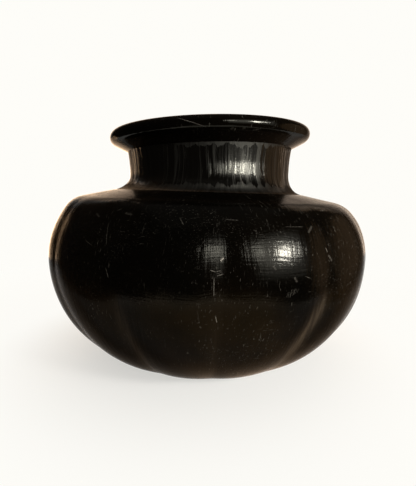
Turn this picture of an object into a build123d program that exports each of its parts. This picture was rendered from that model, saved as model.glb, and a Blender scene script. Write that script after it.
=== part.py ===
"""Coil-built melon jar: moulded base pat, wall, shoulder and neck coils, and a rolled rim coil.

Millimetres and degrees. The origin is the centre of the base's resting face, +Z is up, and -Y is the front.
"""

from build123d import *

import os
from math import acos, asin, atan2, cos, degrees, hypot, pi, radians, sin, sqrt, tan

os.makedirs("parts", exist_ok=True)

# Pot wall, measured over the crests of the lobes
belly_radius = 148.0
belly_height = 95.0
base_radius = 80.0
upper_arc = 69.0
shoulder_turn = 38.0
shoulder_arc = 26.0
shoulder_slope = 12.0
wall_thickness = 8.0
base_thickness = 9.0

# Melon lobes, pressed in along the valleys between them, which fade to a trace at base and neck
lobe_count = 12
valley_depth = 4.0
valley_trace = 0.15
valley_fade = 0.6
valley_bearing = 5.0
section_count = 18

# Clay coils and the lapped joints between them
pat_rise = 24.0
wall_coil_count = 6
shoulder_coil_count = 2
joint_lap = 6.0

# Neck
neck_radius = 76.0
neck_height = 38.2
neck_flare = 1.8
neck_wall = 8.0
neck_fillet = 16.0

# Rolled rim
rim_overhang = 16.2
rim_rise = 18.5
lip_radius = 6.5

# Curves of the wall that follow from those sizes
base_drop = belly_radius - base_radius
lower_arc = (belly_height**2 + base_drop**2) / (2 * base_drop)
base_lean = degrees(asin(belly_height / lower_arc))
lower_run = lower_arc * radians(base_lean)
upper_run = upper_arc * radians(shoulder_turn)
shoulder_lean = 90 - shoulder_slope
turn_run = shoulder_arc * radians(shoulder_lean - shoulder_turn)
arcs_run = lower_run + upper_run + turn_run


def crest_point(run, inset=0.0):
    """Radius and height of the crest line, `run` up the wall from the base edge and `inset` into the clay."""
    slide = 0.0
    if run <= lower_run:
        arc = lower_arc
        centre_radius, centre_height = belly_radius - lower_arc, belly_height
        lean = radians(-base_lean) + run / lower_arc
    elif run <= lower_run + upper_run:
        arc = upper_arc
        centre_radius, centre_height = belly_radius - upper_arc, belly_height
        lean = (run - lower_run) / upper_arc
    else:
        arc = shoulder_arc
        step = upper_arc - shoulder_arc
        centre_radius = belly_radius - upper_arc + step * cos(radians(shoulder_turn))
        centre_height = belly_height + step * sin(radians(shoulder_turn))
        turned = min(run - lower_run - upper_run, turn_run)
        lean = radians(shoulder_turn) + turned / shoulder_arc
        slide = max(run - arcs_run, 0.0)
    reach = arc - inset
    radius = centre_radius + reach * cos(lean) - slide * sin(lean)
    height = centre_height + reach * sin(lean) + slide * cos(lean)
    return radius, height


def run_at_radius(radius, inset=0.0):
    """Run up the straight top of the shoulder at which the wall, `inset` into the clay, has this radius."""
    start, _ = crest_point(arcs_run, inset)
    return arcs_run + (start - radius) / cos(radians(shoulder_slope))


# The neck's fillet meets the shoulder at its foot
fillet_tangent = neck_fillet * tan(radians(shoulder_lean / 2))
foot_radius = neck_radius + fillet_tangent * cos(radians(shoulder_slope))
foot_run = run_at_radius(foot_radius)
foot_outer = crest_point(foot_run)
foot_inner = crest_point(foot_run - joint_lap, wall_thickness)
neck_bore = neck_radius - neck_wall
bore_corner = crest_point(run_at_radius(neck_bore, wall_thickness), wall_thickness)
neck_start = foot_outer[1] + fillet_tangent * (1 + sin(radians(shoulder_slope)))
neck_top = foot_outer[1] + neck_height
flare_rise = neck_top - neck_start
flare_arc = (flare_rise**2 + neck_flare**2) / (2 * neck_flare)
rim_top = neck_top + rim_rise

# Joints up the wall: base pat to first coil, coil to coil, and last coil to neck
coil_count = wall_coil_count + shoulder_coil_count
coil_run = (foot_run - pat_rise) / coil_count
joint_runs = [pat_rise + number * coil_run for number in range(coil_count + 1)]
coil_names = [f"wall_coil_{number + 1}" for number in range(wall_coil_count)]
coil_names += [f"shoulder_coil_{number + 1}" for number in range(shoulder_coil_count)]


def joint_ends(run):
    """Ends of a lapped joint's line, carried past both faces of the wall by the wall's own thickness."""
    outer = Vector(*crest_point(run))
    inner = Vector(*crest_point(run - joint_lap, wall_thickness))
    past = (outer - inner).normalized() * wall_thickness
    return outer + past, inner - past


def lobe_point(radius, bearing):
    """Point at a bearing from the front, turning to the right."""
    return radius * sin(radians(bearing)), -radius * cos(radians(bearing))


# Whole pot wall: lobed outside, smooth inside, open where the neck stands
lobe_pitch = 360 / lobe_count
loft_run = run_at_radius(neck_bore)
floor_lean = asin((base_thickness - belly_height) / (lower_arc - wall_thickness))
floor_run = lower_arc * (floor_lean + radians(base_lean))
inner_stops = [floor_run, lower_run, lower_run + upper_run, arcs_run]
with BuildPart() as pot:
    for section in range(section_count + 1):
        section_run = loft_run * section / section_count
        crest, height = crest_point(section_run)
        fade = abs(sin(pi * min(section_run / foot_run, 1.0))) ** valley_fade
        valley = crest - max(valley_depth * fade, valley_trace)
        with BuildSketch(Plane.XY.offset(height)):
            with BuildLine():
                for lobe in range(lobe_count):
                    bearing = valley_bearing + lobe * lobe_pitch
                    ThreePointArc(
                        lobe_point(valley, bearing),
                        lobe_point(crest, bearing + lobe_pitch / 2),
                        lobe_point(valley, bearing + lobe_pitch),
                    )
            make_face()
    loft()
    with BuildSketch(Plane.XZ):
        with BuildLine():
            Line((0, base_thickness), crest_point(floor_run, wall_thickness))
            for start, end in zip(inner_stops, inner_stops[1:]):
                ThreePointArc(
                    crest_point(start, wall_thickness),
                    crest_point((start + end) / 2, wall_thickness),
                    crest_point(end, wall_thickness),
                )
            Polyline(
                crest_point(arcs_run, wall_thickness),
                bore_corner,
                (neck_bore, rim_top),
                (0, rim_top),
                (0, base_thickness),
            )
        make_face()
    revolve(axis=Axis.Z, mode=Mode.SUBTRACT)

# Base pat: everything below the first joint
pat_outer, pat_inner = joint_ends(joint_runs[0])
with BuildPart() as base_pat:
    add(pot.part)
    with BuildSketch(Plane.XZ):
        with BuildLine():
            Polyline(
                (0, -base_thickness),
                (pat_outer.X, -base_thickness),
                pat_outer,
                pat_inner,
                (0, pat_inner.Y),
                close=True,
            )
        make_face()
    revolve(axis=Axis.Z, mode=Mode.INTERSECT)
base_pat.part.label = "base_pat"
export_step(base_pat.part, "parts/base_pat.step")

# Wall and shoulder coils, each between its two lapped joints
for coil_name, low_run, high_run in zip(coil_names, joint_runs, joint_runs[1:]):
    low_outer, low_inner = joint_ends(low_run)
    high_outer, high_inner = joint_ends(high_run)
    with BuildPart() as coil:
        add(pot.part)
        with BuildSketch(Plane.XZ):
            with BuildLine():
                Polyline(low_outer, low_inner, high_inner, high_outer, close=True)
            make_face()
        revolve(axis=Axis.Z, mode=Mode.INTERSECT)
    coil.part.label = coil_name
    export_step(coil.part, f"parts/{coil_name}.step")


def neck_point(height):
    """Point of the neck's outside at a height: upright above the fillet, then flaring to the rim."""
    rise = height - neck_start
    return neck_radius + flare_arc - sqrt(flare_arc**2 - rise**2), height


def lip_tangent(point, side):
    """Point where a line from `point` touches the rim's lip, on its outer (-1) or inner (1) side."""
    across, up = lip_centre[0] - point[0], lip_centre[1] - point[1]
    spread = acos(lip_radius / hypot(across, up))
    angle = atan2(-up, -across) - side * spread
    return lip_centre[0] + lip_radius * cos(angle), lip_centre[1] + lip_radius * sin(angle)


# Lower neck coil, with its foot lapped inside the shoulder
neck_middle = (neck_start + neck_top) / 2
middle_outer = neck_point(neck_middle)
middle_inner = (neck_bore, neck_middle - joint_lap)
fillet_centre = (neck_radius + neck_fillet, neck_start)
fillet_lean = radians(180 + shoulder_lean / 2)
fillet_middle = (
    fillet_centre[0] + neck_fillet * cos(fillet_lean),
    fillet_centre[1] + neck_fillet * sin(fillet_lean),
)
with BuildPart() as neck_coil_1:
    with BuildSketch(Plane.XZ):
        with BuildLine():
            ThreePointArc(foot_outer, fillet_middle, (neck_radius, neck_start))
            ThreePointArc(
                (neck_radius, neck_start),
                neck_point((neck_start + neck_middle) / 2),
                middle_outer,
            )
            Polyline(middle_outer, middle_inner, bore_corner, foot_inner, foot_outer)
        make_face()
    revolve(axis=Axis.Z)
neck_coil_1.part.label = "neck_coil_1"
export_step(neck_coil_1.part, "parts/neck_coil_1.step")

# Upper neck coil
top_outer = neck_point(neck_top)
top_inner = (neck_bore, neck_top - joint_lap)
with BuildPart() as neck_coil_2:
    with BuildSketch(Plane.XZ):
        with BuildLine():
            ThreePointArc(middle_outer, neck_point((neck_middle + neck_top) / 2), top_outer)
            Polyline(top_outer, top_inner, middle_inner, middle_outer)
        make_face()
    revolve(axis=Axis.Z)
neck_coil_2.part.label = "neck_coil_2"
export_step(neck_coil_2.part, "parts/neck_coil_2.step")

# Rim coil, turned out over the neck and rounded at its lip
lip_centre = (top_outer[0] + rim_overhang - lip_radius, rim_top - lip_radius)
lip_under = lip_tangent(top_outer, -1)
lip_inside = lip_tangent(top_inner, 1)
lip_edge = (lip_centre[0] + lip_radius * cos(pi / 4), lip_centre[1] + lip_radius * sin(pi / 4))
with BuildPart() as rim_coil:
    with BuildSketch(Plane.XZ):
        with BuildLine():
            Line(top_outer, lip_under)
            ThreePointArc(lip_under, lip_edge, lip_inside)
            Polyline(lip_inside, top_inner, top_outer)
        make_face()
    revolve(axis=Axis.Z)
rim_coil.part.label = "rim_coil"
export_step(rim_coil.part, "parts/rim_coil.step")
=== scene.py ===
"""Looks of the coil-built melon jar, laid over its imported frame.

Metres and radians, unless a class says otherwise. +Z is up and -Y is the front. A bearing is an angle from
the front, turning to the right, and a run is a length up the outside of the wall from the edge of the base.
"""

import logging
from collections.abc import Callable
from dataclasses import astuple, dataclass
from enum import Enum
from functools import cached_property
from math import acos, asin, atan2, cos, hypot, pi, radians, sin, tan

import bpy
import numpy as np
from mathutils import Matrix, Vector


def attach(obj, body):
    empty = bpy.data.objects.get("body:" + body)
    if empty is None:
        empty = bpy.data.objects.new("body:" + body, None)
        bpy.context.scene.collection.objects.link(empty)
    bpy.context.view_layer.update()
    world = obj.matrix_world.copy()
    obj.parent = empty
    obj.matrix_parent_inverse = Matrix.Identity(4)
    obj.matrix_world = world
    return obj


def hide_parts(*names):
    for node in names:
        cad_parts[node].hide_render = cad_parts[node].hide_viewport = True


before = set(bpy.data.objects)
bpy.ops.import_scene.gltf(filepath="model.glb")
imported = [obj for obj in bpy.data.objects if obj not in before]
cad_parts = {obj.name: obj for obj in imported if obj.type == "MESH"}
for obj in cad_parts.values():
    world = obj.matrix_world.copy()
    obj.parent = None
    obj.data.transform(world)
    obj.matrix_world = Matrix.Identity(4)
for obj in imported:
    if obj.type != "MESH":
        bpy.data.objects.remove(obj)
log = logging.getLogger("melon_jar")

Array = np.ndarray
Surface = Callable[[Array, Array], Array]
Socket = bpy.types.NodeSocket
Colour = tuple[float, float, float, float]
Span = tuple[float, float]

FULL_TURN = 2.0 * pi
MM_PER_METRE = 1000.0

# Step to either side for a slope, and what keeps a length off nought
NUDGE = 1e-5
TINY = 1e-30

# Lap of the joints between coils, and steps along the curves of the outline
JOINT_LAP = 0.006
LIP_STEPS = 120
RIM_STEPS = 84
OUTLINE_STEPS = 800


class Face(Enum):
    """Sides of the clay that are finished differently, by the place of their material on a piece."""

    OUTSIDE = 0
    INSIDE = 1
    UNDERSIDE = 2


class Lay(Enum):
    """Direction of the polishing strokes, as the stretch of their pattern around and up the jar."""

    UPRIGHT = (1.0, 0.05)
    AROUND = (0.05, 1.0)


class Pane(Enum):
    """Outline of a lamp, with Blender's name for it and its share of the rectangle around it."""

    SQUARED = ("RECTANGLE", 1.0)
    ROUNDED = ("ELLIPSE", pi / 4.0)


def smooth_step(value: Array, low: float, high: float) -> Array:
    """Rise from 0 at `low` to 1 at `high`, level at both ends: the cubic 3t^2 - 2t^3."""
    t = np.clip((value - low) / (high - low), 0.0, 1.0)
    return t * t * (3.0 - 2.0 * t)


def unit(vectors: Array) -> Array:
    """Vectors at length 1, or at length 0 where they have no direction."""
    return vectors / (np.linalg.norm(vectors, axis=-1, keepdims=True) + TINY)


def quads(grid: Array) -> Array:
    """Values at the four corners of each face of a grid, anticlockwise seen from outside."""
    corners = np.stack([grid[:-1, :-1], grid[:-1, 1:], grid[1:, 1:], grid[1:, :-1]], axis=2)
    return corners.reshape(-1, 4, *grid.shape[2:])


def ring_quads(grid: Array) -> Array:
    """Values at the corners of the faces of a grid whose last column meets its first around the jar."""
    return quads(np.concatenate([grid, grid[:, :1]], axis=1))


def put(name: str, data: bpy.types.ID) -> bpy.types.Object:
    """Put a mesh, lamp or camera into the scene.

    Args:
        name: Name of the object.
        data: Mesh, lamp or camera.

    Returns:
        The object.
    """
    made = bpy.data.objects.new(name, data)
    bpy.context.scene.collection.objects.link(made)
    return made


@dataclass(frozen=True)
class Unevenness:
    """Smooth random height over the unrolled wall, the same on every run.

    Attributes:
        around: Number of random values around the jar.
        spacing: Length up the wall between rows of random values.
        depth: Largest height.
        seed: Seed of the random values.
        rows: Number of rows after which the values repeat.
    """

    around: int
    spacing: float
    depth: float
    seed: int
    rows: int = 32

    @cached_property
    def knots(self) -> Array:
        """Random heights between -1 and 1, one per knot of the grid."""
        return np.random.default_rng(self.seed).uniform(-1.0, 1.0, (self.rows, self.around))

    @cached_property
    def starts(self) -> Array:
        """Random shift up the wall of each column of knots, so that strokes don't end in line."""
        return np.random.default_rng(self.seed + 1).uniform(0.0, self.rows, self.around)

    def height(self, run: Array, bearing: Array) -> Array:
        """Height at places on the wall: knots joined by a smooth step in both directions.

        Args:
            run: Lengths up the wall.
            bearing: Angles from the front.

        Returns:
            Heights, broadcast over both arguments.
        """
        across = np.asarray(bearing) / FULL_TURN * self.around + 0.0 * run
        column = np.floor(across).astype(int)
        side = smooth_step(across - column, 0.0, 1.0)
        left = self._column(run, column % self.around)
        right = self._column(run, (column + 1) % self.around)
        return self.depth * (left + (right - left) * side)

    def _column(self, run: Array, column: Array) -> Array:
        """Height up columns of knots, joined by a smooth step.

        Args:
            run: Lengths up the wall.
            column: Numbers of the columns.

        Returns:
            Heights between -1 and 1.
        """
        up = run / self.spacing + self.starts[column]
        row = np.floor(up).astype(int)
        rise = smooth_step(up - row, 0.0, 1.0)
        low, high = self.knots[row % self.rows, column], self.knots[(row + 1) % self.rows, column]
        return low + (high - low) * rise


@dataclass(frozen=True)
class JarForm:
    """Faces of the whole jar, as functions of run and bearing that every piece shares."""

    # Wall, over the crests of the lobes
    belly_radius: float = 0.148
    belly_height: float = 0.095
    base_radius: float = 0.080
    upper_arc: float = 0.069
    shoulder_turn: float = radians(38)
    shoulder_arc: float = 0.026
    shoulder_slope: float = radians(12)
    wall: float = 0.008
    floor: float = 0.009
    edge_wear: float = 0.004

    # Valleys between the lobes, with each valley's share of the depth, from the front to the right
    lobe_count: int = 12
    valley_depth: float = 0.004
    valley_fade: float = 0.6
    valley_bearing: float = radians(5)
    valley_round: float = 0.055
    valley_gather: float = radians(10.5)
    gather_turn: float = radians(12)
    gathered_run: float = 0.06
    valley_shares: tuple[float, ...] = (1.2, 0.75, 0.5, 1.0, 1.05, 0.95, 1.0, 0.9, 1.05, 0.95, 0.6, 1.1)

    # Neck, the thicker clay at the front of its foot, and the groove around it
    neck_radius: float = 0.076
    neck_height: float = 0.0382
    neck_flare: float = 0.0018
    neck_wall: float = 0.008
    neck_fillet: float = 0.016
    swell_depth: float = 0.0022
    swell_bearing: float = radians(12)
    swell_width: float = radians(28)
    swell_low: float = 0.160
    swell_high: float = 0.178
    foot_groove: float = 0.0005
    foot_groove_width: float = 0.0008

    # Rim
    rim_overhang: float = 0.0162
    rim_rise: float = 0.0185
    lip_radius: float = 0.0065
    rim_round: float = 0.0025

    # Marks of the hand: shoulder and neck set askew, strokes of the stone and waves of the wall
    shoulder_tilt: float = radians(-1.2)
    shoulder_tilt_rise: float = 0.030
    neck_tilt: float = radians(1.7)
    neck_shift: float = 0.0008
    neck_tilt_rise: float = 0.020
    strokes: Unevenness = Unevenness(around=260, spacing=0.030, depth=0.000012, seed=11)
    hand: Unevenness = Unevenness(around=36, spacing=0.026, depth=0.00010, seed=23)

    @cached_property
    def lower_arc(self) -> float:
        """Radius of the arc from the base edge to the belly, which stands upright at the belly."""
        drop = self.belly_radius - self.base_radius
        return (self.belly_height**2 + drop**2) / (2.0 * drop)

    @cached_property
    def base_lean(self) -> float:
        """Angle of the lower arc's start below the level."""
        return asin(self.belly_height / self.lower_arc)

    @cached_property
    def lower_run(self) -> float:
        """Run at the belly."""
        return self.lower_arc * self.base_lean

    @cached_property
    def upper_run(self) -> float:
        """Run at the end of the upper arc."""
        return self.lower_run + self.upper_arc * self.shoulder_turn

    @cached_property
    def shoulder_lean(self) -> float:
        """Lean of the face at the top of the shoulder."""
        return pi / 2.0 - self.shoulder_slope

    @cached_property
    def arcs_run(self) -> float:
        """Run at which the shoulder's straight slope starts."""
        return self.upper_run + self.shoulder_arc * (self.shoulder_lean - self.shoulder_turn)

    @cached_property
    def fillet_tangent(self) -> float:
        """Length of the neck fillet's tangents."""
        return self.neck_fillet * tan(self.shoulder_lean / 2.0)

    @cached_property
    def foot_run(self) -> float:
        """Run at the foot of the neck, where its fillet leaves the shoulder."""
        return self.slope_run(self.neck_radius + self.fillet_tangent * cos(self.shoulder_slope))

    @cached_property
    def foot_height(self) -> float:
        """Height of the foot of the neck."""
        return float(self.wall_point(self.foot_run)[1])

    @cached_property
    def neck_start(self) -> float:
        """Height at which the neck stands upright."""
        return self.foot_height + self.fillet_tangent * (1.0 + sin(self.shoulder_slope))

    @cached_property
    def neck_top(self) -> float:
        """Height at which the rim starts."""
        return self.foot_height + self.neck_height

    @cached_property
    def flare_arc(self) -> float:
        """Radius of the arc in which the neck flares."""
        rise = self.neck_top - self.neck_start
        return (rise**2 + self.neck_flare**2) / (2.0 * self.neck_flare)

    @cached_property
    def fillet_run(self) -> float:
        """Run at the top of the neck's fillet."""
        return self.foot_run + self.neck_fillet * self.shoulder_lean

    @cached_property
    def top_run(self) -> float:
        """Run at the top of the neck."""
        return self.flare_run(self.neck_top)

    @cached_property
    def bore(self) -> float:
        """Inner radius of the neck."""
        return self.neck_radius - self.neck_wall

    def flare_run(self, height: float) -> float:
        """Run at which the neck's flare has this height."""
        return self.fillet_run + self.flare_arc * asin((height - self.neck_start) / self.flare_arc)

    def slope_run(self, radius: float, inset: float = 0.0) -> float:
        """Run on the shoulder's straight slope at which the wall has this radius, `inset` into the clay."""
        start = float(self.wall_point(self.arcs_run, inset)[0])
        return self.arcs_run + (start - radius) / cos(self.shoulder_slope)

    def wall_point(self, run: float, inset: float = 0.0) -> Array:
        """Radius and height of the wall's crest line at one run."""
        return np.array(self.wall_line(np.array(run), inset))

    def wall_line(self, run: Array, inset: float = 0.0) -> tuple[Array, Array]:
        """Crest line of the wall: three arcs with shared tangents, then a straight slope up to the neck.

        Args:
            run: Lengths up the wall.
            inset: Depth below the outside, into the clay.

        Returns:
            Radii and heights.
        """
        parts = [run <= self.lower_run, run <= self.upper_run]
        step = self.upper_arc - self.shoulder_arc
        upper_radius = self.belly_radius - self.upper_arc
        turn_radius = upper_radius + step * cos(self.shoulder_turn)
        turn_height = self.belly_height + step * sin(self.shoulder_turn)
        turned = (np.minimum(run, self.arcs_run) - self.upper_run) / self.shoulder_arc
        lean = np.select(
            parts,
            [run / self.lower_arc - self.base_lean, (run - self.lower_run) / self.upper_arc],
            self.shoulder_turn + turned,
        )
        arc = np.select(parts, [self.lower_arc, self.upper_arc], self.shoulder_arc) - inset
        centre_radius = np.select(parts, [self.belly_radius - self.lower_arc, upper_radius], turn_radius)
        centre_height = np.select(parts, [self.belly_height, self.belly_height], turn_height)
        slide = np.maximum(run - self.arcs_run, 0.0)
        radius = centre_radius + arc * np.cos(lean) - slide * np.sin(lean)
        height = centre_height + arc * np.sin(lean) + slide * np.cos(lean)
        return radius, height

    def outside_line(self, run: Array) -> tuple[Array, Array]:
        """Crest line of the wall, then the neck's fillet and its flare, all with shared tangents.

        Args:
            run: Lengths up the wall and the neck.

        Returns:
            Radii and heights.
        """
        wall_radius, wall_height = self.wall_line(run)
        turn = pi + self.shoulder_lean - (run - self.foot_run) / self.neck_fillet
        fillet_radius = self.neck_radius + self.neck_fillet * (1.0 + np.cos(turn))
        fillet_height = self.neck_start + self.neck_fillet * np.sin(turn)
        flare = (run - self.fillet_run) / self.flare_arc
        flare_radius = self.neck_radius + self.flare_arc * (1.0 - np.cos(flare))
        flare_height = self.neck_start + self.flare_arc * np.sin(flare)
        parts = [run <= self.foot_run, run <= self.fillet_run]
        radius = np.select(parts, [wall_radius, fillet_radius], flare_radius)
        height = np.select(parts, [wall_height, fillet_height], flare_height)
        return radius, height

    def nearest_valley(self, run: Array, bearing: Array) -> tuple[Array, Array]:
        """Nearest valley at places on the wall.

        Below the belly the valleys gather towards the front, by a sine of the bearing that is turned a
        little, so that those on the right gather more.

        Args:
            run: Lengths up the wall.
            bearing: Angles from the front.

        Returns:
            Numbers of the valleys, and the way to them as a share of the lobes' pitch.
        """
        turned = bearing - self.valley_bearing
        gathered = self.valley_gather * smooth_step(run, self.lower_run, self.gathered_run)
        part = (turned + gathered * np.sin(turned + self.gather_turn)) * self.lobe_count / FULL_TURN
        number = np.round(part)
        return number, part - number

    def valleys(self, run: Array, bearing: Array) -> Array:
        """Depth pressed in between the lobes.

        The depth is the square of the distance from the lobe's crest, with the fold at the valley rounded
        off, and fades to nothing at the base and the neck as a power of a half sine.

        Args:
            run: Lengths up the wall.
            bearing: Angles from the front.

        Returns:
            Depths below the crest line.
        """
        number, part = self.nearest_valley(run, bearing)
        from_valley = np.sqrt(part**2 + self.valley_round**2)
        fade = np.sin(pi * np.clip(run / self.foot_run, 0.0, 1.0)) ** self.valley_fade
        share = np.array(self.valley_shares)[number.astype(int) % self.lobe_count]
        return self.valley_depth * share * fade * np.clip(1.0 - 2.0 * from_valley, 0.0, 1.0) ** 2

    def swell(self, height: Array, bearing: Array) -> Array:
        """Thicker clay at the front of the neck's foot: a bell around the jar that rises and falls up it.

        Args:
            height: Heights before the neck was set askew.
            bearing: Angles from the front.

        Returns:
            Added radii.
        """
        turned = (bearing - self.swell_bearing + pi) % FULL_TURN - pi
        around = np.exp(-((turned / self.swell_width) ** 2))
        rise = smooth_step(height, self.foot_height, self.swell_low)
        return self.swell_depth * around * rise * (1.0 - smooth_step(height, self.swell_low, self.swell_high))

    def outside(self, run: Array, bearing: Array) -> Array:
        """Points of the outside: crest line less the valleys, the groove at the neck and the hand's marks.

        Args:
            run: Lengths up the wall and the neck.
            bearing: Angles from the front.

        Returns:
            Points, broadcast over both arguments.
        """
        radius, height = self.outside_line(run)
        groove = self.foot_groove * np.exp(-(((run - self.foot_run) / self.foot_groove_width) ** 2))
        worked = self.strokes.height(run, bearing) + self.hand.height(run, bearing)
        worked = worked + self.swell(height, bearing)
        return self.place(radius - groove + worked - self.valleys(run, bearing), height, bearing)

    def inside(self, run: Array, bearing: Array) -> Array:
        """Points of the smooth inside of the wall, as far as the neck's bore."""
        radius, height = self.wall_line(run, self.wall)
        return self.place(radius, height, bearing)

    def place(self, radius: Array, height: Array, bearing: Array) -> Array:
        """Points on the jar, with the shoulder, neck and rim set a little askew by hand.

        Args:
            radius: Distances from the axis.
            height: Heights before they were set askew.
            bearing: Angles from the front.

        Returns:
            Points, broadcast over all arguments.
        """
        east = radius * np.sin(bearing)
        north = -radius * np.cos(bearing)
        shifted = east + self.neck_share(height) * self.neck_shift
        lifted = height + self.tilt(height) * east
        return np.stack(np.broadcast_arrays(shifted, north, lifted), axis=-1)

    def neck_share(self, height: Array) -> Array:
        """Share of the neck's shift and tilt: a smooth step up from its foot."""
        return smooth_step(height, self.foot_height, self.foot_height + self.neck_tilt_rise)

    def tilt(self, height: Array) -> Array:
        """Slope of the jar's level to the right: down at the shoulder, then up at the neck and rim.

        Args:
            height: Heights up the jar.

        Returns:
            Rise for a length to the right.
        """
        shoulder = smooth_step(height, self.foot_height - self.shoulder_tilt_rise, self.foot_height)
        neck = self.neck_share(height)
        return tan(self.shoulder_tilt) * shoulder * (1.0 - neck) + tan(self.neck_tilt) * neck

    def level_height(self, points: Array) -> Array:
        """Heights of points before the shoulder, neck and rim were set askew."""
        return points[:, 2] - self.tilt(points[:, 2]) * points[:, 0]

    def rim_outline(self) -> Array:
        """Outline of the rim from the neck's top outside, round the lip, to the neck's top inside.

        Two straight sides touch the lip's circle, and a running mean over the even points rounds the
        corners between them.

        Returns:
            Radius and height of each point, evenly spaced.
        """
        top_radius = float(self.outside_line(np.array(self.top_run))[0])
        outer = np.array([top_radius, self.neck_top])
        inner = np.array([self.bore, self.neck_top - JOINT_LAP])
        centre = np.array([top_radius + self.rim_overhang, self.neck_top + self.rim_rise]) - self.lip_radius
        start, end = self._touch(centre, outer, 1.0), self._touch(centre, inner, -1.0)
        angles = np.linspace(start, end if end > start else end + FULL_TURN, LIP_STEPS)
        lip = centre + self.lip_radius * np.stack([np.cos(angles), np.sin(angles)], axis=-1)
        corners = np.vstack([outer, lip, inner])
        lengths = np.concatenate([[0.0], np.cumsum(np.hypot(*np.diff(corners, axis=0).T))])
        even = np.linspace(0.0, lengths[-1], RIM_STEPS)
        points = np.stack([np.interp(even, lengths, corners[:, axis]) for axis in (0, 1)], axis=-1)
        reach = int(self.rim_round / (even[1] - even[0]))
        padded = np.pad(points, ((reach, reach), (0, 0)), mode="reflect", reflect_type="odd")
        share = np.full(2 * reach + 1, 1.0 / (2 * reach + 1))
        return np.stack([np.convolve(padded[:, axis], share, mode="valid") for axis in (0, 1)], axis=-1)

    def _touch(self, centre: Array, point: Array, side: float) -> float:
        """Angle on the lip's circle at which a line from `point` touches it."""
        across, up = centre - point
        return atan2(-up, -across) + side * acos(self.lip_radius / hypot(across, up))


@dataclass(frozen=True)
class Strip:
    """One face of a piece: a grid of points up the face and around the jar, with their normals."""

    points: Array
    normals: Array
    face: Face


def face_strip(surface: Surface, steps: Array, bearings: Array, face: Face) -> Strip:
    """Lay a surface out as a grid, with normals from its slopes in both directions.

    Args:
        surface: Function of step and bearing that gives points.
        steps: Steps up the face.
        bearings: Angles from the front.
        face: Side of the clay.

    Returns:
        The strip.
    """
    up, around = steps[:, None], bearings[None, :]
    along = surface(up + NUDGE, around) - surface(up - NUDGE, around)
    across = surface(up, around + NUDGE) - surface(up, around - NUDGE)
    return Strip(surface(up, around), unit(np.cross(across, along)), face)


def joint_strip(first: Array, last: Array) -> Strip:
    """Lay out the straight, unpolished face of a lapped joint between coils.

    Args:
        first: Row of points where the face starts.
        last: Row of points where it ends.

    Returns:
        The strip.
    """
    across = np.roll(first, -1, axis=0) - np.roll(first, 1, axis=0)
    normals = unit(np.cross(across, last - first))
    return Strip(np.stack([first, last]), np.stack([normals, normals]), Face.INSIDE)


@dataclass(frozen=True)
class Scratch:
    """One mark on the outside, between two places given by bearing in degrees and height in millimetres."""

    bearing: float
    height: float
    end_bearing: float
    end_height: float
    width: float
    strength: float


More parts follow.
